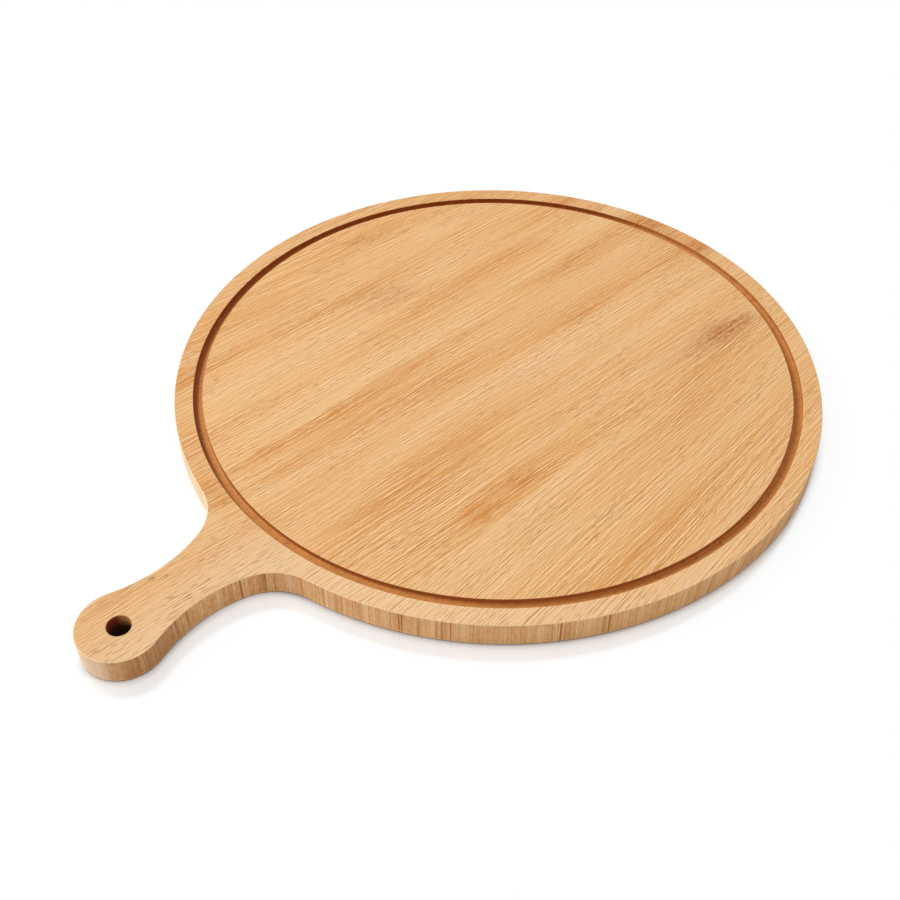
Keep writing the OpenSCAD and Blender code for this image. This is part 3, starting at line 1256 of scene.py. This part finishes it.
where = m.add("ShaderNodeTexCoord").outputs["Object"]
spot = m.split(where)
line_y = m.math("MULTIPLY", m.math("SUBTRACT", spot["X"], LINE_X), LINE_SLOPE)
shaded_side = m.ramp(m.math("SUBTRACT", spot["Y"], line_y), LINE_FROM, LINE_FULL)
contact = m.math("MINIMUM", m.math("MULTIPLY", contact, shaded_side), 1.0)
dark = m.math("MAXIMUM", contact, m.math("MULTIPLY", blocked, SOFT_SHADE))
from_hole = m.vector("LENGTH", m.vector("SUBTRACT", where, (KNOB_X, 0, 0)))
in_open = m.math("GREATER_THAN", from_hole, HOLE_SHADE_R)

# %% What the camera and every other ray see of the floor
FLOOR_WHITE = 0.9
SHADE_SHARE = 0.10
# The lamp and the sky light the open floor to about this level
FLOOR_LEVEL = 0.8
REFLECTION = 0.21
MIRROR_ROUGH = 0.15
WHITE = (1, 1, 1, 1)


def grey(level):
    """A grey colour of a given level."""
    return (level, level, level, 1)


shading = m.add("ShaderNodeBsdfDiffuse", Color=grey(SHADE_SHARE)).outputs[0]
lift = m.math("MULTIPLY", m.math("SUBTRACT", 1.0, dark), in_open)
lift = m.math("MULTIPLY", lift, 1 - SHADE_SHARE * FLOOR_LEVEL)
glow = m.add("ShaderNodeEmission", Color=WHITE, Strength=lift).outputs[0]
white = m.add("ShaderNodeAddShader", _0=shading, _1=glow).outputs[0]
mirror = m.add("ShaderNodeBsdfGlossy", Color=WHITE, Roughness=MIRROR_ROUGH).outputs[0]
shown = m.add("ShaderNodeMixShader", _0=REFLECTION, _1=white, _2=mirror).outputs[0]
plain = m.add("ShaderNodeBsdfDiffuse", Color=grey(FLOOR_WHITE)).outputs[0]
seen = m.add("ShaderNodeLightPath").outputs["Is Camera Ray"]
surface = m.add("ShaderNodeMixShader", _0=seen, _1=plain, _2=shown).outputs[0]
m.add("ShaderNodeOutputMaterial", Surface=surface)
print("Floor material:", len(m.tree.nodes), "nodes")

# %% The sky
# Light from the sky on the board; the camera and every mirror see plain white instead
SKY = 0.50

world = bpy.data.worlds.new("studio")
bpy.context.scene.world = world
world.use_nodes = True
world.node_tree.nodes.clear()
w = Tree(world.node_tree)
rays = w.add("ShaderNodeLightPath").outputs
white_seen = w.math("MAXIMUM", rays["Is Camera Ray"], rays["Is Glossy Ray"])
white_seen = w.math("MAXIMUM", white_seen, rays["Is Transmission Ray"])
strength = w.math("MULTIPLY_ADD", white_seen, 1 - SKY, SKY)
sky = w.add("ShaderNodeBackground", Color=WHITE, Strength=strength)
w.add("ShaderNodeOutputWorld", Surface=sky.outputs[0])
print("Sky:", SKY)

# %% The lamp
LAMP_FROM = Vector((-1.24, 2.20, 2.50))
LAMP_SIZE = 1.8
LAMP_POWER = 81.0


def facing(direction):
    """The turn that makes a lamp or a camera look along a direction."""
    return direction.to_track_quat("-Z", "Y").to_euler()


lamp_data = bpy.data.lights.new("window", "AREA")
lamp_data.shape = "DISK"
lamp_data.size = LAMP_SIZE
lamp_data.energy = LAMP_POWER
lamp = bpy.data.objects.new("window", lamp_data)
lamp.location = LAMP_FROM
lamp.rotation_euler = facing(-LAMP_FROM)
into_scene(lamp)
print("Lamp:", LAMP_POWER, "watts at", [round(v, 2) for v in LAMP_FROM])

# %% The camera, fitted to the circles of the rim and the groove
CAMERA_PLACE = (-0.37380, -0.33715, 0.45522)
CAMERA_AIM = Vector((0.49896, 0.49848, -0.70891))
CAMERA_ROLL = -0.00167
LENS = 48.594
SENSOR = 36.0
CLIP_START = 10 * MM

camera_data = bpy.data.cameras.new("camera")
camera_data.sensor_width = SENSOR
camera_data.lens = LENS
camera_data.clip_start = CLIP_START
camera = bpy.data.objects.new("camera", camera_data)
camera.location = CAMERA_PLACE
camera.rotation_euler = facing(CAMERA_AIM)
camera.rotation_euler.rotate_axis("Z", CAMERA_ROLL)
into_scene(camera)
bpy.context.scene.camera = camera
bpy.context.scene.view_settings.view_transform = "Standard"
print("Camera:", LENS, "mm lens")
